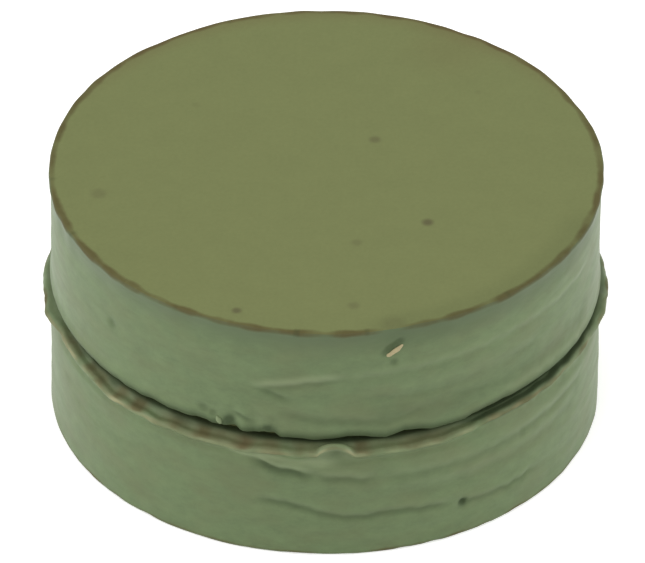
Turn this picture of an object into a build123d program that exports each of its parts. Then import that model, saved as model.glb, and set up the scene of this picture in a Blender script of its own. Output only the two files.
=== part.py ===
from build123d import *
import os

# A two-layer leather cue tip, as it is sold: flat on both faces, before it is glued to a cue and shaped.
# Two discs are punched from dyed hide, laid the same way up and bonded with a film of cement. Punching
# rolls a disc's lower edge over and draws its upper edge outwards. Pressing the stack spreads the upper
# edge of the base layer into a thin lip, and pushes some cement out into the groove above that lip. The
# base layer's lower face is then sanded flat for the glue, which leaves little of its rolled edge.
#
# The origin is the centre of the face that is glued to the cue's ferrule. +Z points to the striking face,
# and -Y is the front. Lengths are in millimetres and angles in degrees.

# The punched discs
wall_diameter = 13.0
striking_thickness = 3.2
base_thickness = 3.2
edge_roll = 0.3
foot_roll = 0.08

# The rim round the striking face
rim_flare = 0.07
flare_height = 0.8
rim_round = 0.07

# The lip pressed out round the top of the base layer
lip_reach = 0.22
lip_root_depth = 0.5
lip_edge_thickness = 0.12

# The film of cement between the discs. It ends inside the place where their edges part.
film_thickness = 0.1
film_inset = 0.1

# The cement pushed out into the groove. Each bead starts at an angle from +X and goes anticlockwise.
bead_spans = [(244, 11), (268, 8), (283, 8), (296, 8), (62, 21), (158, 9)]
bead_height = 0.26
bead_inset = 0.02
bead_round = 0.1

# Worked out from the sizes above
wall_radius = wall_diameter / 2
film_radius = wall_radius - edge_roll - film_inset
striking_bottom = base_thickness + film_thickness
striking_top = striking_bottom + striking_thickness

# A corner's arc may be this much flatter than a quarter circle, so that it always spans its two ends.
arc_ease = 1.02


def turned(edges, sweep=360.0):
    """The solid that a closed outline makes as it turns round the Z axis.

    An outline's points are (radius from the axis, height above the ferrule face).
    """
    return revolve(Plane.XZ * make_face(edges), Axis.Z, sweep)


def punched_disc(bottom, top, lower_roll, edge_start, edge_reach, edge_height):
    """A disc with a rolled lower edge, whose wall leans out from edge_start to a rounded upper edge.

    The upper edge stands edge_reach outside the wall, and its rounding is edge_height tall.
    """
    upper_radius = wall_radius + edge_reach
    roll = TangentArc((wall_radius - lower_roll, bottom), (wall_radius, bottom + lower_roll), tangent=(1, 0))
    lean = TangentArc((wall_radius, edge_start), (upper_radius, top - edge_height), tangent=(0, 1))
    edge = RadiusArc(lean @ 1, (upper_radius - edge_height, top), -edge_height * arc_ease)
    faces = Polyline(edge @ 1, (0, top), (0, bottom), roll @ 0)
    return turned([roll, Line(roll @ 1, lean @ 0), lean, edge, faces])


def make_striking_layer():
    """The upper disc, which strikes the ball. Its wall flares a little to the rim of its face."""
    flare_start = striking_top - flare_height
    return punched_disc(striking_bottom, striking_top, edge_roll, flare_start, rim_flare, rim_round)


def make_base_layer():
    """The lower disc, which is glued to the ferrule, with the lip that pressing spreads round its top."""
    lip_start = base_thickness - lip_root_depth
    return punched_disc(0, base_thickness, foot_roll, lip_start, lip_reach, lip_edge_thickness)


def make_bond_film():
    """The film of cement between the discs."""
    film = Cylinder(film_radius, film_thickness, align=(Align.CENTER, Align.CENTER, Align.MIN))
    return Pos(0, 0, base_thickness) * film


def make_squeeze_out(striking_layer):
    """Beads of cement that lie on the base layer and fill the groove up to the striking layer's roll."""
    bead_radius = wall_radius - bead_inset
    bead_top = base_thickness + bead_height
    shoulder_start = (bead_radius, bead_top - bead_round)
    shoulder = RadiusArc(shoulder_start, (bead_radius - bead_round, bead_top), -bead_round * arc_ease)
    corners = [(film_radius, bead_top), (film_radius, base_thickness), (bead_radius, base_thickness)]
    outline = [shoulder, Polyline(shoulder @ 1, *corners, shoulder @ 0)]
    beads = [Rot(0, 0, start) * turned(outline, sweep) - striking_layer for start, sweep in bead_spans]
    return Compound([solid for bead in beads for solid in bead.solids()])


striking_layer = make_striking_layer()
parts = {
    "striking_layer": striking_layer,
    "bond_film": make_bond_film(),
    "base_layer": make_base_layer(),
    "squeeze_out": make_squeeze_out(striking_layer),
}

os.makedirs("parts", exist_ok=True)
for node, shape in parts.items():
    export_step(shape, f"parts/{node}.step")
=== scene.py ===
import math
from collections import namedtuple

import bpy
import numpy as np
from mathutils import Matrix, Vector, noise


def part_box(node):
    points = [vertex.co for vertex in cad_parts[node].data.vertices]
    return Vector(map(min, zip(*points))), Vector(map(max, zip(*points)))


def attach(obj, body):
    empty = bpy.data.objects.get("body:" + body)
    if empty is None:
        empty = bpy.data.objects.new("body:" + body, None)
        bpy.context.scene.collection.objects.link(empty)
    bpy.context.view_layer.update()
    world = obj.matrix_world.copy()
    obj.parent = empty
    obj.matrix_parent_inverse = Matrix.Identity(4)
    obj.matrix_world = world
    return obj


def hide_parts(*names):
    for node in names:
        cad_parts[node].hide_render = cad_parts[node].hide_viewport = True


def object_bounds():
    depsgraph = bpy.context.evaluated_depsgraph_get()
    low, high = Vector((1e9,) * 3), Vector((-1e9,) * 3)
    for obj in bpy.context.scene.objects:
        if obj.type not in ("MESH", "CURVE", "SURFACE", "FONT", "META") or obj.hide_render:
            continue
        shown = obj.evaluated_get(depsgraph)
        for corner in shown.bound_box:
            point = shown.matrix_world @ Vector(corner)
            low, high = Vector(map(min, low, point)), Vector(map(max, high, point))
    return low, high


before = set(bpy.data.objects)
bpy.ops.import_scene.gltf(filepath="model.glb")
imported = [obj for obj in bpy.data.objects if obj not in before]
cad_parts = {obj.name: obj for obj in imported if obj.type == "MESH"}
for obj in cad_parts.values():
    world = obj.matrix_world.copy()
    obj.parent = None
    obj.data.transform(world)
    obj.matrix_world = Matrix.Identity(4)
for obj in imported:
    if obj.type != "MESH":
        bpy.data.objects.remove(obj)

# A layered leather cue tip, modelled round its CAD frame: two pressed discs of dyed hide with a lip where
# they meet, the cement that was squeezed out between them, and the frayed hide at the seam.
#
# Blender's own unit is the metre. Lists of places are in millimetres and degrees: a bearing is measured
# round the tip from the front (-Y) towards +X, and a height is above the face glued to the ferrule.

bl_info = {
    "name": "Layered Cue Tip",
    "version": (1, 0, 0),
    "blender": (4, 5, 0),
    "location": "3D Viewport > Sidebar > Cue Tip",
    "description": "Models the hide layers, the cement and the studio round the CAD frame of a cue tip",
    "category": "Object",
}

CAD_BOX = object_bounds()
MM = 0.001
BODY = "root"

# Radius of the plain wall of both discs, in millimetres
WALL = 6.5

# A face is level, and not part of a wall, where its normal points up or down by more than this share
LEVEL = 0.75

# What is painted on the hide, point by point, including painted shade and painted highlights
MASKS = ("worn", "grime", "raw", "stain", "rub_and_highlight")

# Sockets of a Mix node that mixes colours
MIX_FACTOR, MIX_A, MIX_B, MIX_RESULT = 0, 6, 7, 2


def linear(hex_colour):
    """An sRGB hex colour as linear red, green and blue."""
    channels = [int(hex_colour[place:place + 2], 16) / 255 for place in (0, 2, 4)]
    return [c / 12.92 if c <= 0.04045 else ((c + 0.055) / 1.055) ** 2.4 for c in channels]


# What a user would change

def length(name, description, millimetres):
    """A size property, given in millimetres and kept in metres."""
    return bpy.props.FloatProperty(
        name=name, description=description, default=millimetres * MM,
        min=0.0, unit="LENGTH", subtype="DISTANCE", precision=5)


def colour(name, description, hex_colour):
    """A colour property, given as sRGB hex."""
    return bpy.props.FloatVectorProperty(
        name=name, description=description, default=linear(hex_colour),
        min=0.0, max=1.0, size=3, subtype="COLOR")


class CueTipHide(bpy.types.PropertyGroup):
    """Sizes and colours of the two discs of hide."""
    segments: bpy.props.IntProperty(
        name="Segments", default=800, min=64, max=900, description="Facets in one turn round a disc")
    row_height: length("Row height", "Distance between two rings of points on a wall", 0.05)
    edge_roll: length("Edge roll", "Radius of the edge that the punch rolls over", 0.3)
    foot_roll: length("Foot roll", "Radius of the sanded edge round the face that is glued", 0.08)
    rim_flare: length("Rim flare", "How far the rim round the striking face stands out", 0.07)
    flare_height: length("Flare height", "Height of the flared part below the striking face", 0.8)
    rim_round: length("Rim rounding", "Radius of the rim round the striking face", 0.07)
    lip_reach: length("Lip reach", "How far the lip of the base layer stands out", 0.22)
    lip_root: length("Lip root", "Height of the lip below the top of the base layer", 0.5)
    lip_edge: length("Lip edge", "Radius of the lip's upper edge", 0.12)
    face_colour: colour("Face colour", "Dye on a buffed face", "7B8254")
    wall_colour: colour("Wall colour", "Dye on a pressed wall", "6D7F58")
    # A greyer, darker colour painted over the band just below the striking face.
    rim_tint: colour("Tint below the rim", "Greyer dye just below the striking face", "5F6E4F")
    worn_colour: colour("Worn colour", "Bare brown hide where an edge has lost its dye", "5A5130")
    # This colour paints shade in folds, pits, grooves and hollows, and also dark dirt.
    dirt_and_shade_colour: colour("Grime colour", "Dye and dust that collect in folds and pits", "354329")
    raw_colour: colour("Raw colour", "Freshly cut hide", "C3B58B")
    # This colour paints highlights on ridges and light on the shaded front of the lip, and also rubbed hide.
    rub_and_highlight_colour: colour("Rubbed colour", "Dye thinned on ridges by rubbing", "A6B28A")
    stain_colour: colour("Stain colour", "Hide that handling has browned", "6A4C33")
    patch_colour: colour("Patch colour", "Browner hide that shows through the dye of a wall", "6E7350")
    speck_colour: colour("Speck colour", "Dark specks in a buffed face", "544B38")


class CueTipCement(bpy.types.PropertyGroup):
    """Size and colour of the dried cement."""
    bead_depth: length("Bead depth", "How deep a bead of cement lies in the groove", 0.34)
    bead_height: length("Bead height", "How tall a bead of cement is", 0.26)
    cement_colour: colour("Cement colour", "Dried cement, stained by the dye", "6A6E42")


class CueTipStage(bpy.types.PropertyGroup):
    """The floor, the light and the camera."""
    floor_size: length("Floor size", "Side of the square floor", 4000)
    floor_colour: colour("Floor colour", "Matt white floor", "F4F4F2")
    floor_lift: bpy.props.FloatProperty(
        name="Floor lift", default=0.55, min=0.0, max=1.0,
        description="White added to the floor where the camera or a gloss sees it")
    sky_strength: bpy.props.FloatProperty(
        name="Sky strength", default=0.57, min=0.0, max=1.0,
        description="Level of the even light from all round")
    camera_elevation: bpy.props.FloatProperty(
        name="Camera elevation", default=math.radians(36.15), subtype="ANGLE",
        description="Height of the camera above the horizon")
    camera_roll: bpy.props.FloatProperty(
        name="Camera roll", default=math.radians(0.42), subtype="ANGLE",
        description="Turn of the camera about its own line of sight")
    camera_distance: length("Camera distance", "From the camera to the middle of the tip", 462.4)
    camera_lens: bpy.props.FloatProperty(
        name="Lens", default=1088.0, min=1.0, description="Focal length in millimetres")
    aim_right: bpy.props.FloatProperty(
        name="Aim right", default=-0.066 * MM, unit="LENGTH", precision=5,
        description="How far right of the tip's middle the camera aims")
    aim_up: bpy.props.FloatProperty(
        name="Aim up", default=-0.009 * MM, unit="LENGTH", precision=5,
        description="How far above the tip's middle the camera aims")


class CueTipSettings(bpy.types.PropertyGroup):
    """Everything that the operators read."""
    hide: bpy.props.PointerProperty(type=CueTipHide)
    cement: bpy.props.PointerProperty(type=CueTipCement)
    stage: bpy.props.PointerProperty(type=CueTipStage)


# Where the hide is marked. All are in millimetres and degrees.

# A fold is a groove along a path of (bearing, height), with a ridge beside it, above it where the side is 1
# and below it where the side is -1. The next to last field is how dark the groove is painted, as painted
# shade, and the last is how pale the ridge is painted, as a painted highlight.
Fold = namedtuple("Fold", "path width depth ridge side grime rub")

# A spot is a round dent in the wall, and its last field is how dark it is painted, as painted shade in the
# dent.
Spot = namedtuple("Spot", "bearing height width depth grime")

STRIKING_FOLDS = [
    Fold([(-16, 4.68), (-8, 4.86), (0, 5.04), (5, 5.12)], 0.09, 0.02, 0.03, 1, 0.2, 0.32),
    Fold([(4, 5.1), (22, 5.18), (48, 5.28), (72, 5.32)], 0.1, 0.01, 0.018, 1, 0.06, 0.1),
    Fold([(-15, 4.72), (-12, 4.66), (-8.5, 4.52), (-6, 4.38)], 0.09, 0.03, 0.01, 1, 0.4, 0.0),
    Fold([(-10, 4.1), (0, 3.93), (10, 3.82), (17, 3.86), (24, 4.1)], 0.13, 0.022, 0.014, 1, 0.28, 0.04),
    Fold([(24, 4.28), (31, 4.12), (40, 3.98)], 0.13, 0.022, 0.012, -1, 0.25, 0.0),
    Fold([(6, 4.55), (18, 4.42), (33, 4.5), (52, 4.62)], 0.17, 0.018, 0.014, 1, 0.14, 0.05),
    Fold([(8, 3.98), (30, 4.0), (72, 4.1)], 0.32, 0.03, 0.0, 1, 0.2, 0.0),
    Fold([(38, 3.62), (52, 3.66), (72, 3.66)], 0.07, 0.01, 0.015, 1, 0.0, 0.14),
    Fold([(-19.6, 3.84), (-17.4, 3.86), (-14.6, 3.74)], 0.07, 0.03, 0.01, 1, 0.5, 0.0),
    Fold([(98, 4.3), (112, 4.42), (131, 4.35), (150, 4.52)], 0.09, 0.03, 0.02, 1, 0.2, 0.08),
    Fold([(168, 5.1), (186, 5.22), (205, 5.12)], 0.08, 0.03, 0.025, 1, 0.15, 0.1),
    Fold([(213, 3.95), (228, 4.08), (250, 4.0)], 0.1, 0.025, 0.015, -1, 0.2, 0.0),
]
STRIKING_SPOTS = [
    Spot(-50.4, 5.01, 0.12, 0.03, 0.3),
    Spot(-26.0, 3.78, 0.12, 0.03, 0.4),
    Spot(-23.8, 3.74, 0.1, 0.03, 0.35),
    Spot(-20.2, 3.58, 0.16, 0.02, 0.75),
    Spot(-11.8, 3.52, 0.13, 0.03, 0.8),
    # The next five spots, and the one below them, are the painted shadow round the lifted sliver.
    Spot(12.4, 5.8, 0.09, 0.03, 0.3),
    Spot(13.2, 5.88, 0.1, 0.04, 0.42),
    Spot(14.1, 5.95, 0.1, 0.04, 0.42),
    Spot(15.0, 6.02, 0.1, 0.04, 0.4),
    Spot(15.9, 6.09, 0.1, 0.03, 0.45),
    Spot(14.4, 5.52, 0.09, 0.03, 0.4),
    Spot(124, 5.3, 0.1, 0.03, 0.3),
    Spot(196, 4.5, 0.08, 0.03, 0.4),
]
BASE_FOLDS = [
    Fold([(-16.5, 2.7), (-13.4, 2.6), (-11.3, 2.47), (-9, 2.4), (-5, 2.35), (-1, 2.32)],
         0.12, 0.07, 0.045, 1, 0.66, 0.3),
    Fold([(-3, 2.3), (3, 2.22), (8, 2.16), (12, 2.16)], 0.11, 0.03, 0.025, 1, 0.36, 0.12),
    Fold([(-22, 2.78), (-14, 2.68), (-8, 2.54), (-2, 2.52), (4, 2.52)], 0.13, 0.0, 0.02, 1, 0.0, 0.38),
    Fold([(11, 2.16), (20, 2.12), (32, 2.13), (50, 2.24), (70, 2.38)], 0.13, 0.02, 0.018, 1, 0.2, 0.08),
    Fold([(14, 1.66), (28, 1.6), (45, 1.7), (66, 1.85)], 0.18, 0.02, 0.016, 1, 0.12, 0.05),
    Fold([(-15, 1.52), (-8, 1.46), (-4, 1.34), (0, 1.2), (4, 1.08), (9, 1.1), (14, 1.15), (21, 1.07),
          (28, 0.98)], 0.1, 0.035, 0.018, 1, 0.4, 0.05),
    Fold([(28, 0.97), (34, 0.88), (42, 0.86), (51, 0.92)], 0.09, 0.025, 0.012, 1, 0.34, 0.05),
    Fold([(104, 1.9), (121, 1.74), (139, 1.83), (158, 1.66)], 0.1, 0.04, 0.02, 1, 0.3, 0.08),
    Fold([(176, 2.3), (190, 2.14), (208, 2.2)], 0.1, 0.045, 0.025, 1, 0.35, 0.08),
    Fold([(224, 1.2), (241, 1.06), (262, 1.14)], 0.09, 0.03, 0.02, 1, 0.25, 0.0),
]
BASE_SPOTS = [
    Spot(30.4, 0.92, 0.115, 0.09, 0.85),
    Spot(46, 2.2, 0.14, 0.02, 0.3),
    Spot(152, 1.1, 0.1, 0.06, 0.7),
    Spot(-128, 0.9, 0.09, 0.05, 0.5),
]

# How far the striking layer's lower edge is drawn up, as (bearing, height). It hangs down where that is
# negative.
EDGE_LIFTS = [(-180, 0.0), (-60, 0.02), (-42, 0.0), (-39, 0.05), (-35, 0.0), (-29, 0.02), (-27, 0.06),
              (-24.5, 0.02), (-23, 0.03), (-21, 0.06), (-19.5, 0.05), (-18, 0.02), (-14, -0.02),
              (-12.6, 0.1), (-11, 0.08), (-9.5, -0.03), (-3, -0.05), (1, -0.04), (5, 0.03), (9, 0.02),
              (13, -0.1), (17, 0.04), (20, 0.0), (24, -0.1), (29, -0.16), (33, -0.02), (38, 0.03),
              (52, 0.0), (64, -0.06), (80, -0.08), (110, 0.0), (180, 0.0)]

# How far the base layer's lip droops, as (bearing, depth)
LIP_DROOPS = [(-180, 0.1), (-150, 0.16), (-120, 0.08), (-101, 0.05), (-88, 0.04), (-75, 0.04),
              (-60, 0.09), (-50, 0.18), (-40, 0.15), (-30, 0.17), (-20, 0.14), (-12, 0.12), (0, 0.1),
              (12, 0.12), (20, 0.14), (30, 0.1), (36, 0.03), (60, 0.02), (80, 0.02), (92, 0.02),
              (110, 0.16), (140, 0.1), (180, 0.1)]

# How far the base layer's lip stands out from the wall, as (bearing, reach)
LIP_REACHES = [(-180, 0.16), (-150, 0.12), (-120, 0.18), (-101, 0.22), (-94, 0.23), (-87, 0.16),
               (-81, 0.22), (-72, 0.05), (-60, 0.07), (-50, 0.12), (-36, 0.1), (-20, 0.12), (-5, 0.14),
               (12, 0.12), (25, 0.1), (34, 0.05), (60, 0.04), (74, 0.1), (84, 0.19), (92, 0.23),
               (104, 0.2), (120, 0.1), (150, 0.15), (180, 0.16)]

# A torn tongue of hide that stands up from the lip, as the bearings of its two ends and its height
LIP_BURR = (-1.4, 6.0, 0.19)


# Tools shared by the pieces

def add(tree, kind, sockets=None, **settings):
    """Adds a node. A socket's value is either a number or colour for it, or another node's output."""
    node = tree.nodes.new(kind)
    for name, value in settings.items():
        setattr(node, name, value)
    for name, value in (sockets or {}).items():
        if isinstance(value, bpy.types.NodeSocket):
            tree.links.new(value, node.inputs[name])
        else:
            node.inputs[name].default_value = value
    return node


def new_material(name):
    """An empty material, and its node tree."""
    material = bpy.data.materials.new(name)
    material.use_nodes = True
    material.node_tree.nodes.clear()
    return material, material.node_tree


def in_millimetres(tree):
    """Object coordinates in millimetres, so that a pattern's scale is one over a size in millimetres."""
    place = add(tree, "ShaderNodeTexCoord")
    return add(tree, "ShaderNodeMapping", {
        "Vector": place.outputs["Object"], "Scale": [1 / MM] * 3}).outputs[0]


def start_primitive():
    """Leaves edit mode and deselects everything, so that the next operator acts on its own primitive."""
    if bpy.context.object and bpy.context.object.mode != "OBJECT":
        bpy.ops.object.mode_set(mode="OBJECT")
    bpy.ops.object.select_all(action="DESELECT")


def arc(centre, radius, start, end, step):
    """Points of (radius, height) along an arc, without its first. Its angles are from outwards to upwards."""
    count = max(2, math.ceil(abs(math.radians(end - start)) * radius / step))
    angles = [math.radians(start + (end - start) * i / count) for i in range(1, count + 1)]
    return [(centre[0] + radius * math.cos(angle), centre[1] + radius * math.sin(angle)) for angle in angles]


def run(start, end, step, power=1):
    """Points of (radius, height) from the start to the end, without the start. They are in a straight line
    at power 1. At power 2 they leave the start upright and lean out."""
    count = max(1, round(math.dist(start, end) / step))
    across, up = end[0] - start[0], end[1] - start[1]
    shares = [i / count for i in range(1, count + 1)]
    return [(start[0] + across * share**power, start[1] + up * share) for share in shares]


def turn(name, outline, segments):
    """Draws an outline of (radius, height) point by point, and turns it into a closed piece."""
    # The first point is a small plane, merged into one.
    start_primitive()
    bpy.ops.mesh.primitive_plane_add(size=MM, location=(outline[0][0], 0, outline[0][1]))
    piece = bpy.context.object
    piece.name = piece.data.name = name
    bpy.ops.object.mode_set(mode="EDIT")
    bpy.ops.mesh.merge(type="CENTER")
    for here, there in zip(outline, outline[1:]):
        step = (there[0] - here[0], 0, there[1] - here[1])
        bpy.ops.mesh.extrude_vertices_move(TRANSFORM_OT_translate={"value": step})
    bpy.ops.object.mode_set(mode="OBJECT")
    bpy.ops.object.transform_apply(location=True, rotation=True, scale=True)
    screw = piece.modifiers.new("turn", "SCREW")
    screw.steps = screw.render_steps = segments
    bpy.ops.object.modifier_apply(modifier=screw.name)
    bpy.ops.object.mode_set(mode="EDIT")
    bpy.ops.mesh.select_all(action="SELECT")
    bpy.ops.mesh.remove_doubles(threshold=0.001 * MM)
    bpy.ops.mesh.normals_make_consistent(inside=False)
    bpy.ops.object.mode_set(mode="OBJECT")
    return piece


def join(parts, name):
    """Joins parts into one piece of that name."""
    start_primitive()
    for part in parts:
        part.select_set(True)
    bpy.context.view_layer.objects.active = parts[0]
    bpy.ops.object.join()
    piece = bpy.context.object
    piece.name = piece.data.name = name
    return piece


def finish_piece(piece, materials, nodes):
    """Smooths a piece, gives it its materials, and puts it in the frame in place of CAD nodes, if any."""
    for material in materials:
        piece.data.materials.append(material)
    start_primitive()
    piece.select_set(True)
    bpy.context.view_layer.objects.active = piece
    bpy.ops.object.shade_smooth()
    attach(piece, BODY)
    if nodes:
        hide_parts(*nodes)


def fade(values, start, end):
    """0 up to start, 1 from end on, and a smooth change between. End may lie below start."""
    share = np.clip((values - start) / (end - start), 0, 1)
    return share * share * (3 - 2 * share)


class Skin:
    """A piece's points while they are being sculpted: millimetres, and bearings in degrees."""

    def __init__(self, piece):
        self.piece = piece
        points = np.empty(len(piece.data.vertices) * 3)
        piece.data.vertices.foreach_get("co", points)
        self.points = points.reshape(-1, 3) / MM
        self.bearing = np.degrees(np.arctan2(self.points[:, 0], -self.points[:, 1]))
        self.radius = np.hypot(self.points[:, 0], self.points[:, 1])
        self.height = self.points[:, 2].copy()
        self.masks = {name: np.zeros(len(self.points)) for name in MASKS}

    def bumps(self, size, tall=1.0, seed=0):
        """Soft noise of about -1 to 1, whose bumps are `size` across and `tall` times as high. Each seed
        reads it at another place."""
        scaled = self.points / (size, size, size * tall) + seed * 17.3
        return np.array([noise.noise(Vector(point)) for point in scaled])

    def wrinkles(self, seed):
        """The pressed wall's soft wrinkles. It is nearly smooth on its left."""
        calm = 1 - 0.75 * self.near(-52, 32, 18)
        return 0.02 * self.bumps(2.6, 0.35, seed) + calm * 0.009 * self.bumps(0.8, 0.3, seed + 1)

    def ripple(self, fewest, most, seed):
        """A closed wave round the piece, of about -1 to 1, made of waves that fit fewest to most times.
        Each seed gives another one."""
        chance = np.random.default_rng(seed)
        counts = np.arange(fewest, most + 1)
        turns = chance.uniform(0, math.tau, len(counts))
        weights = chance.uniform(0.3, 1.0, len(counts)) * math.sqrt(2 / len(counts))
        angles = np.radians(self.bearing)
        return sum(w * np.cos(c * angles + t) for w, c, t in zip(weights, counts, turns))

    def along(self, pairs):
        """A value for each point from a list of (bearing, value), with even changes between them."""
        bearings, values = zip(*pairs)
        return np.interp(self.bearing, bearings, values)

    def near(self, bearing, far, close):
        """1 within close degrees of a bearing, 0 beyond far, and a smooth change between."""
        return fade(np.abs(self.bearing - bearing), far, close)

    def mark(self, mask, values):
        """Paints a mask, where the values are above what it has."""
        self.masks[mask] = np.maximum(self.masks[mask], values)

    def push(self, outward, upward):
        """Moves the points away from the axis and up, and keeps the result as the new place of each."""
        self.radius = self.radius + outward
        self.height = self.height + upward
        angles = np.radians(self.bearing)
        right, back = self.radius * np.sin(angles), -self.radius * np.cos(angles)
        self.points = np.stack([right, back, self.height], axis=1)

    def fold(self, fold):
        """Presses a fold into the wall, paints shade into its groove and a highlight along its ridge."""
        bearings = np.array([bearing for bearing, height in fold.path])
        around = self.bearing
        if bearings[-1] > 180:
            around = np.where(around < 0, around + 360, around)
        # Its path wavers by a few hundredths of a millimetre.
        line = np.interp(around, bearings, [height for bearing, height in fold.path])
        line = line + 0.018 * self.ripple(30, 100, round(abs(bearings[0]) * 10))
        # It comes up over its first few degrees, and fades out over its last.
        first, last = bearings[0], bearings[-1]
        ends = min(4.0, (last - first) / 3)
        present = np.interp(around, [first, first + ends, last - ends, last], [0, 1, 1, 0])
        # The ridge lies 1.7 widths of the groove above or below it, and is a little wider.
        offset = (self.height - line) / fold.width
        groove = present * np.exp(-offset**2)
        ridge = present * np.exp(-((offset - 1.7 * fold.side) / 1.2) ** 2)
        self.push(fold.ridge * ridge - fold.depth * groove, 0)
        self.mark("grime", fold.grime * groove)
        self.mark("rub_and_highlight", fold.rub * ridge)

    def spot(self, spot):
        """Presses a round dent into the wall, and paints shade into it."""
        around = (self.bearing - spot.bearing + 180) % 360 - 180
        across = np.radians(around) * self.radius
        share = np.exp(-(across**2 + (self.height - spot.height) ** 2) / spot.width**2)
        share = share * (self.radius > WALL - 0.5)
        self.push(-spot.depth * share, 0)
        self.mark("grime", spot.grime * np.minimum(1.0, 1.5 * share))

    def save(self):
        """Writes the points and the masks back to the piece."""
        self.piece.data.vertices.foreach_set("co", (self.points * MM).ravel())
        for name, values in self.masks.items():
            attribute = self.piece.data.attributes.new(name, "FLOAT", "POINT")
            attribute.data.foreach_set("value", np.clip(values, 0, 1))
        self.piece.data.update()


# Materials

def hide_colour(tree, position, ground, hide):
    """Adds the marks that all dyed hide shares to a ground colour: wear, dirt with painted shade, cut hide,
    stains, and rubbing with painted highlights. Returns the colour, and how far wear, dirt and painted shade
    have made it matt."""
    marks = {name: add(tree, "ShaderNodeAttribute", attribute_name=name).outputs["Fac"] for name in MASKS}
    # A worn patch breaks up into blots of about 0.3 mm.
    fray = add(tree, "ShaderNodeTexNoise", {"Vector": position, "Scale": 1 / 0.3, "Detail": 3.0})
    spread = add(tree, "ShaderNodeMath", {0: fray.outputs["Fac"], 1: 0.6, 2: -0.3}, operation="MULTIPLY_ADD")
    frayed = add(tree, "ShaderNodeMath", {0: marks["worn"], 1: spread.outputs[0]}, operation="ADD")
    worn = add(tree, "ShaderNodeMapRange", {"Value": frayed.outputs[0], "From Min": 0.2, "To Max": 0.85})
    # The pale layer paints highlights and rubbing, and the dark layer paints dirt and shade.
    layers = [(marks["rub_and_highlight"], hide.rub_and_highlight_colour), (worn.outputs[0], hide.worn_colour),
              (marks["stain"], hide.stain_colour), (marks["grime"], hide.dirt_and_shade_colour),
              (marks["raw"], hide.raw_colour)]
    for factor, tone in layers:
        ground = add(tree, "ShaderNodeMix", {MIX_FACTOR: factor, MIX_A: ground, MIX_B: [*tone, 1]},
                     data_type="RGBA").outputs[MIX_RESULT]
    matt = add(tree, "ShaderNodeMath", {0: worn.outputs[0], 1: marks["grime"]}, operation="MAXIMUM")
    return ground, matt.outputs[0]


def pressed_leather(hide):
    """Leather, dyed and pressed in a die: its wall is smooth and satin, with faint draw lines round it."""
    material, tree = new_material("leather_dyed_and_pressed")
    position = in_millimetres(tree)
    # Draw lines are about 1 mm long and 0.2 mm tall.
    drawn = add(tree, "ShaderNodeMapping", {"Vector": position, "Scale": (1.0, 1.0, 5.0)}).outputs[0]
    lines = add(tree, "ShaderNodeTexNoise", {
        "Vector": drawn, "Scale": 1.0, "Detail": 4.0, "Roughness": 0.55}).outputs["Fac"]
    # The dye takes unevenly over patches of about 0.5 mm, by three tenths either way.
    flat = add(tree, "ShaderNodeMapping", {"Vector": position, "Scale": (1.0, 1.0, 1.8)}).outputs[0]
    patches = add(tree, "ShaderNodeTexNoise", {
        "Vector": flat, "Scale": 1 / 0.5, "Detail": 5.0, "Roughness": 0.7})
    deep, pale = [c * 0.7 for c in hide.wall_colour], [min(1, c * 1.3) for c in hide.wall_colour]
    dye = add(tree, "ShaderNodeMix", {
        MIX_FACTOR: patches.outputs["Fac"], MIX_A: [*deep, 1], MIX_B: [*pale, 1]},
        data_type="RGBA").outputs[MIX_RESULT]
    # Browner hide shows through it over about 1.3 mm.
    brown = add(tree, "ShaderNodeTexNoise", {"Vector": flat, "Scale": 1 / 1.3, "Detail": 2.0})
    share = add(tree, "ShaderNodeMapRange", {
        "Value": brown.outputs["Fac"], "From Min": 0.42, "From Max": 0.7, "To Max": 0.4})
    dye = add(tree, "ShaderNodeMix", {
        MIX_FACTOR: share.outputs[0], MIX_A: dye, MIX_B: [*hide.patch_colour, 1]},
        data_type="RGBA").outputs[MIX_RESULT]
    # It is greyer just below the striking face.
    height = add(tree, "ShaderNodeSeparateXYZ", {0: position}).outputs["Z"]
    top = CAD_BOX[1].z / MM
    below_rim = add(tree, "ShaderNodeMapRange", {
        "Value": height, "From Min": top - 0.75, "From Max": top - 0.2, "To Max": 0.8})
    dye = add(tree, "ShaderNodeMix", {
        MIX_FACTOR: below_rim.outputs[0], MIX_A: dye, MIX_B: [*hide.rim_tint, 1]},
        data_type="RGBA").outputs[MIX_RESULT]
    dye, matt = hide_colour(tree, position, dye, hide)
    # Pores of the grain are about 0.07 mm across.
    pores = add(tree, "ShaderNodeTexNoise", {"Vector": position, "Scale": 1 / 0.07, "Detail": 2.0})
    relief = add(tree, "ShaderNodeBump", {"Height": lines, "Strength": 0.5, "Distance": 0.02 * MM})
    relief = add(tree, "ShaderNodeBump", {
        "Height": pores.outputs["Fac"], "Strength": 0.35, "Distance": 0.004 * MM,
        "Normal": relief.outputs[0]})
    # Pressing has burnished the lines unevenly. Worn places, and places painted with dirt and shade, are
    # rougher.
    satin = add(tree, "ShaderNodeMapRange", {"Value": lines, "To Min": 0.36, "To Max": 0.54})
    rough = add(tree, "ShaderNodeMath", {0: matt, 1: 0.4, 2: satin.outputs[0]}, operation="MULTIPLY_ADD")
    surface = add(tree, "ShaderNodeBsdfPrincipled", {
        "Base Color": dye, "Roughness": rough.outputs[0], "Normal": relief.outputs[0],
        "IOR": 1.5, "Specular IOR Level": 0.28})
    add(tree, "ShaderNodeOutputMaterial", {"Surface": surface.outputs[0]})
    return material


# Specks in the striking face, as (right, back, radius, how dark), in millimetres from its centre
FACE_SPECKS = [(1.15, 1.25, 0.16, 0.45), (2.4, -2.07, 0.16, 0.65), (0.73, -2.9, 0.15, 0.25),
               (-2.07, -5.64, 0.13, 0.6), (-5.36, -1.01, 0.22, 0.25), (0.67, -5.41, 0.16, 0.28),
               (-3.1, 2.6, 0.12, 0.1), (3.6, 3.2, 0.1, 0.12), (1.62, -6.12, 0.34, 0.2)]


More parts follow.
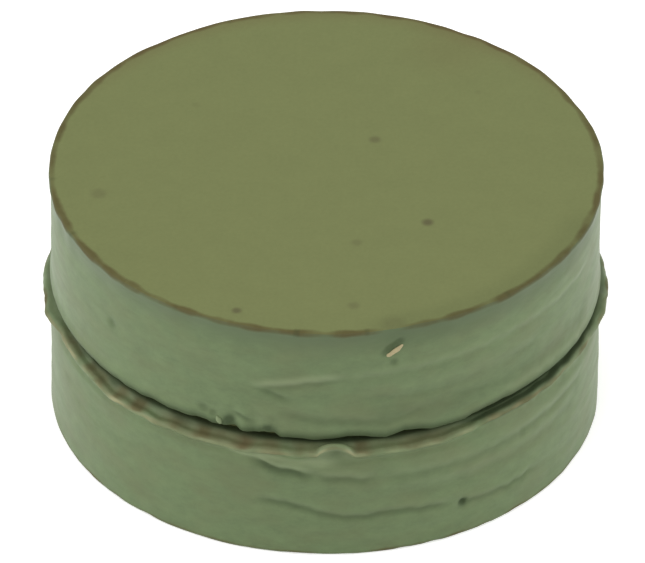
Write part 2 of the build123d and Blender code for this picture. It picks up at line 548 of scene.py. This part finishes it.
def buffed_leather(hide):
    """Leather, dyed and buffed flat: a matt face with a fine nap and a few dark specks."""
    material, tree = new_material("leather_dyed_and_buffed")
    position = in_millimetres(tree)
    # The nap lies in tufts of about 0.1 mm, and the dye takes unevenly over about 0.8 mm.
    nap = add(tree, "ShaderNodeTexNoise", {
        "Vector": position, "Scale": 1 / 0.1, "Detail": 3.0, "Roughness": 0.6}).outputs["Fac"]
    patches = add(tree, "ShaderNodeTexNoise", {
        "Vector": position, "Scale": 1 / 0.8, "Detail": 4.0, "Roughness": 0.7}).outputs["Fac"]
    tone = add(tree, "ShaderNodeMath", {0: nap, 1: 0.5}, operation="MULTIPLY")
    tone = add(tree, "ShaderNodeMath", {0: patches, 1: 0.5, 2: tone.outputs[0]}, operation="MULTIPLY_ADD")
    deep, pale = [c * 0.87 for c in hide.face_colour], [min(1, c * 1.13) for c in hide.face_colour]
    dye = add(tree, "ShaderNodeMix", {MIX_FACTOR: tone.outputs[0], MIX_A: [*deep, 1], MIX_B: [*pale, 1]},
              data_type="RGBA").outputs[MIX_RESULT]
    top = CAD_BOX[1].z / MM
    for right, back, radius, dark in FACE_SPECKS:
        distance = add(tree, "ShaderNodeVectorMath", {0: position, 1: (right, back, top)},
                       operation="DISTANCE").outputs["Value"]
        share = add(tree, "ShaderNodeMapRange", {
            "Value": distance, "From Min": radius * 1.3, "From Max": radius * 0.3, "To Max": dark},
            interpolation_type="SMOOTHSTEP")
        dye = add(tree, "ShaderNodeMix", {
            MIX_FACTOR: share.outputs[0], MIX_A: dye, MIX_B: [*hide.speck_colour, 1]},
            data_type="RGBA").outputs[MIX_RESULT]
    dye = hide_colour(tree, position, dye, hide)[0]
    relief = add(tree, "ShaderNodeBump", {"Height": nap, "Strength": 0.4, "Distance": 0.008 * MM})
    surface = add(tree, "ShaderNodeBsdfPrincipled", {
        "Base Color": dye, "Roughness": 0.85, "Normal": relief.outputs[0],
        "IOR": 1.4, "Specular IOR Level": 0.25})
    add(tree, "ShaderNodeOutputMaterial", {"Surface": surface.outputs[0]})
    return material


def raw_leather(hide):
    """Leather, freshly cut: pale, matt and fibrous."""
    material, tree = new_material("leather_freshly_cut")
    # Fibres are about 0.04 mm thick.
    fibres = add(tree, "ShaderNodeTexNoise", {
        "Vector": in_millimetres(tree), "Scale": 1 / 0.04, "Detail": 2.0}).outputs["Fac"]
    deep = [c * 0.75 for c in hide.raw_colour]
    tone = add(tree, "ShaderNodeMix", {MIX_FACTOR: fibres, MIX_A: [*deep, 1], MIX_B: [*hide.raw_colour, 1]},
               data_type="RGBA")
    relief = add(tree, "ShaderNodeBump", {"Height": fibres, "Strength": 0.5, "Distance": 0.006 * MM})
    surface = add(tree, "ShaderNodeBsdfPrincipled", {
        "Base Color": tone.outputs[MIX_RESULT], "Roughness": 0.75, "Normal": relief.outputs[0]})
    add(tree, "ShaderNodeOutputMaterial", {"Surface": surface.outputs[0]})
    return material


def dried_cement(cement):
    """Contact cement, dried in the air: a dull rubbery skin over small lumps."""
    material, tree = new_material("contact_cement_dried")
    # The skin wrinkles at about 0.1 mm.
    skin = add(tree, "ShaderNodeTexNoise", {
        "Vector": in_millimetres(tree), "Scale": 1 / 0.1, "Detail": 3.0}).outputs["Fac"]
    deep, pale = [c * 0.6 for c in cement.cement_colour], [c * 1.3 for c in cement.cement_colour]
    tone = add(tree, "ShaderNodeMix", {MIX_FACTOR: skin, MIX_A: [*deep, 1], MIX_B: [*pale, 1]},
               data_type="RGBA")
    relief = add(tree, "ShaderNodeBump", {"Height": skin, "Strength": 0.6, "Distance": 0.015 * MM})
    surface = add(tree, "ShaderNodeBsdfPrincipled", {
        "Base Color": tone.outputs[MIX_RESULT], "Roughness": 0.5, "Normal": relief.outputs[0]})
    add(tree, "ShaderNodeOutputMaterial", {"Surface": surface.outputs[0]})
    return material


def dyed_materials(hide):
    """The materials of a disc's wall and of its faces, made the first time they are asked for."""
    known = bpy.data.materials
    return [known.get("leather_dyed_and_pressed") or pressed_leather(hide),
            known.get("leather_dyed_and_buffed") or buffed_leather(hide)]


def split_surfaces(piece, widest):
    """Gives the level faces out to the widest radius the second material slot, and the wall the first."""
    for polygon in piece.data.polygons:
        level = abs(polygon.normal.z) > LEVEL and math.hypot(*polygon.center.xy) < widest
        polygon.material_index = 1 if level else 0


# Operators

class CUE_TIP_OT_striking_layer(bpy.types.Operator):
    """Model the upper disc of hide, whose flat face strikes the ball"""
    bl_idname = "cue_tip.striking_layer"
    bl_label = "Striking Layer"

    def execute(self, context):
        hide = context.scene.cue_tip.hide
        low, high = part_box("striking_layer")
        rim, bottom, top = high.x, low.z, high.z
        wall = rim - hide.rim_flare
        step, roll, edge = hide.row_height, hide.edge_roll, hide.rim_round
        # The rings of points are close together where the disc is sculpted, and far apart elsewhere.
        outline = [(0, bottom)]
        outline += run(outline[-1], (wall - 2 * roll, bottom), wall / 3)
        outline += run(outline[-1], (wall - roll, bottom), 2 * step)
        outline += arc((wall - roll, bottom + roll), roll, -90, 0, step * 0.9)
        outline += run(outline[-1], (wall, top - hide.flare_height), step)
        outline += run(outline[-1], (rim, top - edge), step, power=2)
        outline += arc((rim - edge, top - edge), edge, 0, 90, step / 2)
        outline += run(outline[-1], (rim - edge - 6 * step, top), step)
        outline += run(outline[-1], (wall - 22 * step, top), 2 * step)
        outline += run(outline[-1], (0, top), wall / 7)
        piece = turn("striking_layer_hide", outline, hide.segments)
        split_surfaces(piece, rim)
        self.sculpt(Skin(piece), rim / MM, bottom / MM, top / MM)
        finish_piece(piece, dyed_materials(hide), ["striking_layer"])
        return {"FINISHED"}

    def sculpt(self, skin, rim, bottom, top):
        """Makes the turned disc uneven, as a pressed and punched one is, and marks where the dye has gone."""
        outer = fade(skin.radius, WALL - 0.8, WALL - 0.2)
        near_top = fade(skin.height, top - 0.9, top - 0.1)
        # The rim wanders in and out, flares less at the front, and is worn down unevenly.
        wander = 0.018 * skin.ripple(3, 12, 11) + 0.006 * skin.ripple(20, 60, 12)
        wander = wander - 0.045 * skin.near(0, 75, 30)
        at_rim = fade(skin.radius, rim - 0.35, rim - 0.02)
        worn_down = 0.008 * (1 + skin.ripple(8, 50, 13)) * at_rim * near_top
        wall = outer * fade(skin.height, bottom + 0.2, bottom + 0.6) * (1 - 0.8 * near_top)
        skin.push(outer * near_top * wander + wall * skin.wrinkles(1), -np.maximum(0, worn_down))
        for fold in STRIKING_FOLDS:
            skin.fold(fold)
        for spot in STRIKING_SPOTS:
            skin.spot(spot)
        # Painted shade darkens the underside of the rolled edge, above the groove.
        seam = fade(skin.height, bottom + 0.44, bottom + 0.16) * fade(skin.radius, WALL + 0.12, WALL)
        skin.mark("grime", 0.65 * seam)
        # The lower edge is drawn up, or hangs down by up to 0.09 mm, and is ragged where it tore, left of the
        # front.
        torn = skin.near(-18, 12, 7)
        lift = skin.along(EDGE_LIFTS) + 0.01 * skin.ripple(25, 90, 14)
        lift = lift + torn * 0.025 * skin.ripple(40, 120, 15)
        # Pressing has turned it slightly outwards, but hardly at the front.
        turned_out = 0.03 * np.exp(-((skin.height - bottom - 0.33) / 0.1) ** 2) * outer
        skin.push(turned_out * (1 - 0.8 * skin.near(2, 32, 24)), 0)
        low_edge = fade(skin.radius, WALL - 0.35, WALL - 0.12)
        low_edge = low_edge * fade(skin.height, bottom + 1.1, bottom + 0.25)
        ragged = torn * low_edge * 0.02 * skin.ripple(50, 110, 16)
        skin.push(ragged, low_edge * np.maximum(lift, -0.09))
        # The rim has lost its dye along a thin uneven line, and a dent breaks that line near the front.
        edge_distance = np.hypot(skin.radius - (rim - 0.065), skin.height - (top - 0.005))
        width = 0.085 + 0.022 * skin.ripple(6, 60, 17)
        dent = np.exp(-((skin.bearing - 14) / 3.6) ** 2)
        bareness = 0.9 + 0.2 * skin.ripple(4, 40, 19)
        skin.mark("worn", bareness * fade(edge_distance, width + 0.09, width - 0.05) * (1 - 0.9 * dent))
        # Dark spots sit on that line, and painted shade darkens the wall below it on the right.
        blots = fade(skin.ripple(30, 110, 18), 0.9, 2.0) * fade(edge_distance, 0.17, 0.05)
        skin.mark("grime", 0.35 * blots)
        dent_share = dent * np.exp(-(edge_distance / 0.28) ** 2)
        skin.push(-0.05 * dent_share, -0.05 * dent_share)
        shade_below_rim = fade(skin.height, top - 0.8, top - 0.4) * skin.near(42, 38, 26)
        skin.mark("grime", 0.13 * shade_below_rim * outer)
        # Handling has browned the back of the face.
        face = skin.height > top - 0.3
        from_spot = np.hypot(skin.points[:, 0] - 3.0, skin.points[:, 1] - 5.0)
        back_edge = fade(skin.radius, WALL - 0.6, WALL) * fade(skin.points[:, 1], 2.0, 5.0)
        skin.mark("stain", (0.1 * fade(from_spot, 1.5, 0.3) + 0.2 * back_edge) * face)
        skin.save()


class CUE_TIP_OT_base_layer(bpy.types.Operator):
    """Model the lower disc of hide, with the lip that pressing spread round its top"""
    bl_idname = "cue_tip.base_layer"
    bl_label = "Base Layer"

    def execute(self, context):
        hide = context.scene.cue_tip.hide
        low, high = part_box("base_layer")
        reach, bottom, top = high.x, low.z, high.z
        wall = reach - hide.lip_reach
        step, roll, foot, edge = hide.row_height, hide.edge_roll, hide.foot_roll, hide.lip_edge
        outline = [(0, bottom)]
        outline += run(outline[-1], (wall - 3 * roll, bottom), wall / 7)
        outline += run(outline[-1], (wall - foot, bottom), 2 * step)
        outline += arc((wall - foot, bottom + foot), foot, -90, 0, step / 2)
        outline += run(outline[-1], (wall, top - hide.lip_root), step)
        outline += run(outline[-1], (reach, top - edge), step, power=2)
        outline += arc((reach - edge, top - edge), edge, 0, 90, step * 0.6)
        outline += run(outline[-1], (wall - 2 * roll, top), step)
        outline += run(outline[-1], (0, top), wall / 3)
        piece = turn("base_layer_hide", outline, hide.segments)
        split_surfaces(piece, wall - roll)
        self.sculpt(Skin(piece), bottom / MM, top / MM, hide.lip_reach / MM)
        finish_piece(piece, dyed_materials(hide), ["base_layer"])
        return {"FINISHED"}

    def sculpt(self, skin, bottom, top, full_reach):
        """Makes the disc and its lip uneven, and marks where the dye has gone."""
        outer = fade(skin.radius, WALL - 0.6, WALL - 0.1)
        wall = outer * fade(skin.height, bottom + 0.1, bottom + 0.5) * fade(skin.height, top - 0.1, top - 0.7)
        skin.push(wall * skin.wrinkles(3), 0)
        for fold in BASE_FOLDS:
            skin.fold(fold)
        for spot in BASE_SPOTS:
            skin.spot(spot)
        # The lip reaches out and droops by different amounts round the tip, but never past its full reach,
        # and its rim is lumpy.
        at_lip = fade(skin.height, top - 0.62, top - 0.16) * fade(skin.radius, WALL - 0.25, WALL + 0.05)
        lumps = 0.015 * skin.ripple(14, 45, 21) + 0.006 * skin.ripple(60, 130, 22)
        spread = skin.along(LIP_REACHES) - full_reach + lumps
        droop = skin.along(LIP_DROOPS) + 0.02 * skin.ripple(16, 60, 23)
        skin.push(at_lip * np.minimum(spread, 0), -at_lip * np.maximum(droop, 0))
        # The bottom edge is a little wavy, and a thin brown line is painted along it.
        foot = fade(skin.radius, WALL - 0.5, WALL - 0.2) * fade(skin.height, bottom + 0.5, bottom + 0.1)
        lifted = np.maximum(0, skin.ripple(10, 60, 25))
        skin.push(foot * 0.007 * skin.ripple(6, 40, 24), foot * 0.016 * lifted)
        foot_line = (0.6 + 0.2 * skin.ripple(6, 50, 31)) * fade(skin.height, bottom + 0.17, bottom + 0.07)
        skin.mark("worn", foot_line * fade(skin.radius, WALL - 0.2, WALL - 0.1))
        self.wear_lip(skin, top, outer)
        # Painted shade lies deep in the groove above the lip. On the right it reaches further out.
        deep = WALL - 0.11 + 0.15 * fade(skin.bearing, 28, 38) + 0.015 * skin.ripple(8, 60, 29)
        seam = fade(skin.radius, deep, deep - 0.11) * fade(skin.height, top - 0.34, top - 0.16)
        skin.mark("grime", 0.8 * seam)
        skin.save()

    def wear_lip(self, skin, top, outer):
        """Marks where the lip has lost its dye, and raises its burr."""
        rim_radius = WALL + skin.along(LIP_REACHES)
        rim_height = top - 0.08 - skin.along(LIP_DROOPS)
        edge_distance = np.hypot(skin.radius - rim_radius, skin.height - rim_height)
        # The front is the barest. Further round, only a thin line along the rim is bare.
        front = skin.near(-20, 62, 44)
        width = 0.06 + 0.04 * skin.ripple(6, 60, 26)
        bareness = 0.62 + 0.3 * skin.ripple(4, 40, 27)
        bare_rim = bareness * fade(edge_distance, width + 0.07, width - 0.04) * (1 - 0.4 * front)
        patchy = 0.65 + 0.22 * skin.ripple(12, 70, 28)
        on_lip = fade(skin.radius, WALL - 0.4, WALL - 0.25) * fade(skin.height, top - 0.4, top - 0.2)
        bare_top = front * patchy * on_lip
        skin.mark("worn", bare_rim)
        skin.mark("worn", bare_top * fade(skin.radius, rim_radius + 0.03, rim_radius - 0.04))
        skin.mark("stain", 0.25 * skin.near(-15, 9, 5) * bare_top)
        # The front of the lip is painted paler, as painted light that lifts the shade the groove casts on it,
        # and handling has cut patches of its outermost edge.
        skin.mark("rub_and_highlight", 0.25 * front * bare_top)
        cuts = np.clip(0.14 + 0.16 * skin.ripple(10, 70, 30), 0, 1) * (1 - 0.6 * fade(skin.bearing, -45, -25))
        skin.mark("raw", cuts * fade(edge_distance, 0.09, 0.03) * skin.near(0, 85, 76))
        # The burr is a tongue of the rim that stands up. Its top edge is bare, and painted shade darkens the
        # hollow that it hides.
        first, last, tall = LIP_BURR
        place = (skin.bearing - (first + last) / 2) / ((last - first) / 2)
        from_middle = np.abs(place)
        burr = fade(from_middle, 1.4, 0.8)
        ends = fade(from_middle, 0.35, 0.8)
        top_edge = burr * fade(edge_distance, 0.06, 0.02)
        skin.masks["worn"] = skin.masks["worn"] * (1 - 0.6 * burr) + 0.3 * (1 - ends) * top_edge
        skin.mark("raw", (0.08 + 0.24 * ends) * top_edge)
        hollow = np.exp(-((place / 0.5) ** 2)) * np.exp(-(((skin.height - top + 0.3) / 0.09) ** 2)) * outer
        skin.mark("grime", 0.45 * hollow)
        arch = np.clip(1 - place**2, 0, 1) ** 0.8
        at_rim = fade(skin.height, top - 0.5, top - 0.18) * fade(skin.radius, WALL - 0.1, WALL + 0.02)
        skin.push(0.03 * arch * at_rim - 0.04 * hollow, (tall + 0.04) * arch * at_rim)


# Beads of cement in the groove, as (bearing, half its sweep in degrees, share of the full height)
BEADS = [(-20.5, 5.0, 0.7), (2.0, 4.0, 0.6), (17.0, 4.2, 1.0), (30.0, 4.0, 1.1), (162.5, 10.0, 1.0),
         (-107.5, 4.5, 0.9)]


class CUE_TIP_OT_cement(bpy.types.Operator):
    """Model the beads of cement in the groove, and finish the film between the discs"""
    bl_idname = "cue_tip.cement"
    bl_label = "Cement"

    def execute(self, context):
        cement = context.scene.cue_tip.cement
        material = dried_cement(cement)
        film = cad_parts["bond_film"]
        film.data.materials.clear()
        film.data.materials.append(material)
        low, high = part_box("squeeze_out")
        beads = [self.bead(cement, low.z, high.x, *bead) for bead in BEADS]
        piece = join(beads, "squeeze_out_cement")
        finish_piece(piece, [material], ["squeeze_out"])
        return {"FINISHED"}

    def bead(self, cement, bottom, reach, bearing, half_sweep, share):
        """A lump of cement that follows the groove round and tapers at both ends."""
        # It starts as a ball of radius 1, whose x is bent round the groove, whose y becomes the way in and
        # whose z stays the way up.
        start_primitive()
        bpy.ops.mesh.primitive_uv_sphere_add(
            segments=48, ring_count=24, radius=1, rotation=(0, math.pi / 2, 0))
        bead = bpy.context.object
        bpy.ops.object.transform_apply(location=True, rotation=True, scale=True)
        centre = (reach - cement.bead_depth / 2) / MM
        for vertex in bead.data.vertices:
            x, y, z = vertex.co
            # Its surface is lumpy, by up to about a third.
            lump = noise.noise(Vector((x * half_sweep * 0.8 + bearing, y, z))) * 0.35 + 1
            angle = math.radians(bearing + x * half_sweep)
            radius = centre - y * lump * cement.bead_depth / 2 / MM
            # It is sunk a little way into the lip below it.
            height = bottom / MM + (0.42 + z * 0.5 * lump) * share * cement.bead_height / MM
            vertex.co = Vector((radius * math.sin(angle), -radius * math.cos(angle), height)) * MM
        bpy.ops.object.mode_set(mode="EDIT")
        bpy.ops.mesh.select_all(action="SELECT")
        bpy.ops.mesh.normals_make_consistent(inside=False)
        bpy.ops.object.mode_set(mode="OBJECT")
        return bead


# A flake of torn hide: its place, its size, how many degrees it is turned on the wall and tipped off it, and
# how far its middle is from the axis
Flake = namedtuple("Flake", "bearing height length width thickness tilt lift radius")
SLIVER = Flake(14.6, 5.83, 0.5, 0.12, 0.06, 34, -8, 6.5)
TORN_FLAKES = [
    Flake(-22.3, 3.6, 0.22, 0.12, 0.09, -55, -40, 6.52),
    Flake(-26.4, 3.55, 0.26, 0.07, 0.05, -35, 12, 6.44),
    Flake(157, 3.48, 0.36, 0.1, 0.06, 16, 14, 6.44),
    Flake(-101, 3.5, 0.3, 0.09, 0.06, -14, 12, 6.44),
]

# How pale the torn flakes are painted: rubbed hide, and partly a painted highlight
FLAKE_PALE_AND_HIGHLIGHT = 0.35


class CUE_TIP_OT_frayed_hide(bpy.types.Operator):
    """Model the sliver that a knock lifted from the wall, and the torn flakes along the seam"""
    bl_idname = "cue_tip.frayed_hide"
    bl_label = "Frayed Hide"

    def execute(self, context):
        hide = context.scene.cue_tip.hide
        sliver = self.flake("lifted_sliver", SLIVER)
        finish_piece(sliver, [raw_leather(hide)], [])
        piece = join([self.flake("torn_flake", flake) for flake in TORN_FLAKES], "torn_flakes")
        # The flakes are painted pale, partly as a painted highlight.
        rub_and_highlight = piece.data.attributes.new("rub_and_highlight", "FLOAT", "POINT")
        rub_and_highlight.data.foreach_set("value", np.full(len(piece.data.vertices), FLAKE_PALE_AND_HIGHLIGHT))
        finish_piece(piece, dyed_materials(hide)[:1], [])
        return {"FINISHED"}

    def flake(self, name, flake):
        """A thin leaf of hide, pointed at both ends, whose ends curl towards the wall."""
        start_primitive()
        bpy.ops.mesh.primitive_uv_sphere_add(
            segments=32, ring_count=16, radius=0.5, rotation=(0, math.pi / 2, 0))
        leaf = bpy.context.object
        leaf.name = leaf.data.name = name
        bpy.ops.object.transform_apply(location=True, rotation=True, scale=True)
        bpy.ops.transform.resize(value=(flake.length * MM, flake.thickness * MM, flake.width * MM))
        bpy.ops.object.transform_apply(location=True, rotation=True, scale=True)
        tilt, lift = math.radians(flake.tilt), math.radians(flake.lift)
        angle = math.radians(flake.bearing)
        turned = Matrix.Rotation(-tilt, 4, "Y") @ Matrix.Rotation(lift, 4, "X")
        turned = Matrix.Rotation(angle, 4, "Z") @ turned
        place = Vector((math.sin(angle), -math.cos(angle), 0)) * flake.radius * MM
        place.z = flake.height * MM
        for vertex in leaf.data.vertices:
            # Its ends curl back by a twentieth of its length, and its edges ripple.
            curl = (vertex.co.x / (flake.length * MM)) ** 2 * flake.length * MM * 0.2
            shift = Vector((flake.bearing, 0, 0))
            ripple = 0.15 * flake.width * MM * noise.noise(vertex.co / MM * 9 + shift)
            vertex.co = place + turned @ (vertex.co + Vector((0, curl, ripple)))
        return leaf


# Softboxes, as (name, place, diameter, watts)
LAMPS = [("left_box", (-215, -40, 75), 180, 0.205), ("right_box", (215, -40, 75), 180, 0.17),
         ("top_box", (-40, -40, 260), 120, 0.118)]


class CUE_TIP_OT_stage(bpy.types.Operator):
    """Make the floor, the soft light and the camera"""
    bl_idname = "cue_tip.stage"
    bl_label = "Stage"

    def execute(self, context):
        stage = context.scene.cue_tip.stage
        self.floor(stage)
        self.sky(stage)
        for name, place, size, watts in LAMPS:
            self.lamp(name, Vector(place) * MM, size * MM, watts)
        self.camera(stage)
        context.scene.view_settings.view_transform = "Standard"
        return {"FINISHED"}

    def floor(self, stage):
        """A matt white floor. The camera and every gloss see it whiter, so that it meets the sky."""
        start_primitive()
        bpy.ops.mesh.primitive_plane_add(size=stage.floor_size, location=(0, 0, 0))
        floor = bpy.context.object
        floor.name = floor.data.name = "floor"
        material, tree = new_material("matt_white_board")
        matt = add(tree, "ShaderNodeBsdfDiffuse", {"Color": [*stage.floor_colour, 1]})
        seen = self.seen(tree)
        lift = add(tree, "ShaderNodeMath", {0: seen, 1: stage.floor_lift}, operation="MULTIPLY")
        glow = add(tree, "ShaderNodeEmission", {"Strength": lift.outputs[0]})
        both = add(tree, "ShaderNodeAddShader", {0: matt.outputs[0], 1: glow.outputs[0]})
        add(tree, "ShaderNodeOutputMaterial", {"Surface": both.outputs[0]})
        floor.data.materials.append(material)

    def seen(self, tree):
        """1 for a ray from the camera or from a gloss, and 0 for a ray that only carries light."""
        path = add(tree, "ShaderNodeLightPath").outputs
        seen = path["Is Camera Ray"]
        for ray in ("Is Glossy Ray", "Is Transmission Ray"):
            seen = add(tree, "ShaderNodeMath", {0: seen, 1: path[ray]}, operation="MAXIMUM").outputs[0]
        return seen

    def sky(self, stage):
        """An even white surround. It is plain white where it is seen, and dimmer as a light."""
        world = bpy.data.worlds.new("studio_sky")
        world.use_nodes = True
        tree = world.node_tree
        tree.nodes.clear()
        light = add(tree, "ShaderNodeBackground", {"Strength": stage.sky_strength})
        white = add(tree, "ShaderNodeBackground", {"Strength": 1.0})
        for background in (light, white):
            background.inputs["Color"].default_value = (1, 1, 1, 1)
        mixed = add(tree, "ShaderNodeMixShader", {
            0: self.seen(tree), 1: light.outputs[0], 2: white.outputs[0]})
        add(tree, "ShaderNodeOutputWorld", {"Surface": mixed.outputs[0]})
        bpy.context.scene.world = world

    def lamp(self, name, place, size, watts):
        """A round softbox that points at the tip."""
        bpy.ops.object.light_add(type="AREA", location=place)
        lamp = bpy.context.object
        lamp.name = lamp.data.name = name
        lamp.data.shape = "DISK"
        lamp.data.size = size
        lamp.data.energy = watts
        lamp.rotation_euler = place.to_track_quat("Z", "Y").to_euler()

    def camera(self, stage):
        """The camera, a long way off with a long lens."""
        low, high = CAD_BOX
        elevation = stage.camera_elevation
        back = Vector((0, -math.cos(elevation), math.sin(elevation)))
        right = Vector((1, 0, 0))
        up = back.cross(right)
        aim = (low + high) / 2 + right * stage.aim_right + up * stage.aim_up
        bpy.ops.object.camera_add(location=aim + back * stage.camera_distance)
        camera = bpy.context.object
        camera.name = camera.data.name = "camera"
        roll = Matrix.Rotation(stage.camera_roll, 3, "Z").to_quaternion()
        camera.rotation_euler = (back.to_track_quat("Z", "Y") @ roll).to_euler()
        camera.data.lens = stage.camera_lens
        bpy.context.scene.camera = camera


class VIEW3D_PT_cue_tip(bpy.types.Panel):
    """The sizes, the colours and the steps that build the tip"""
    bl_label = "Cue Tip"
    bl_space_type = "VIEW_3D"
    bl_region_type = "UI"
    bl_category = "Cue Tip"

    def draw(self, context):
        settings = context.scene.cue_tip
        for group in (settings.hide, settings.cement, settings.stage):
            column = self.layout.column(align=True)
            for name in group.__annotations__:
                column.prop(group, name)
        for operator in STEPS:
            self.layout.operator(operator.bl_idname)


GROUPS = (CueTipHide, CueTipCement, CueTipStage, CueTipSettings)
STEPS = (CUE_TIP_OT_striking_layer, CUE_TIP_OT_base_layer, CUE_TIP_OT_cement, CUE_TIP_OT_frayed_hide,
         CUE_TIP_OT_stage)


def register():
    for kind in (*GROUPS, *STEPS, VIEW3D_PT_cue_tip):
        bpy.utils.register_class(kind)
    bpy.types.Scene.cue_tip = bpy.props.PointerProperty(type=CueTipSettings)


def unregister():
    del bpy.types.Scene.cue_tip
    for kind in reversed((*GROUPS, *STEPS, VIEW3D_PT_cue_tip)):
        bpy.utils.unregister_class(kind)


def main():
    register()
    bpy.ops.cue_tip.striking_layer()
    bpy.ops.cue_tip.base_layer()
    bpy.ops.cue_tip.cement()
    bpy.ops.cue_tip.frayed_hide()
    bpy.ops.cue_tip.stage()


if __name__ == "__main__":
    main()
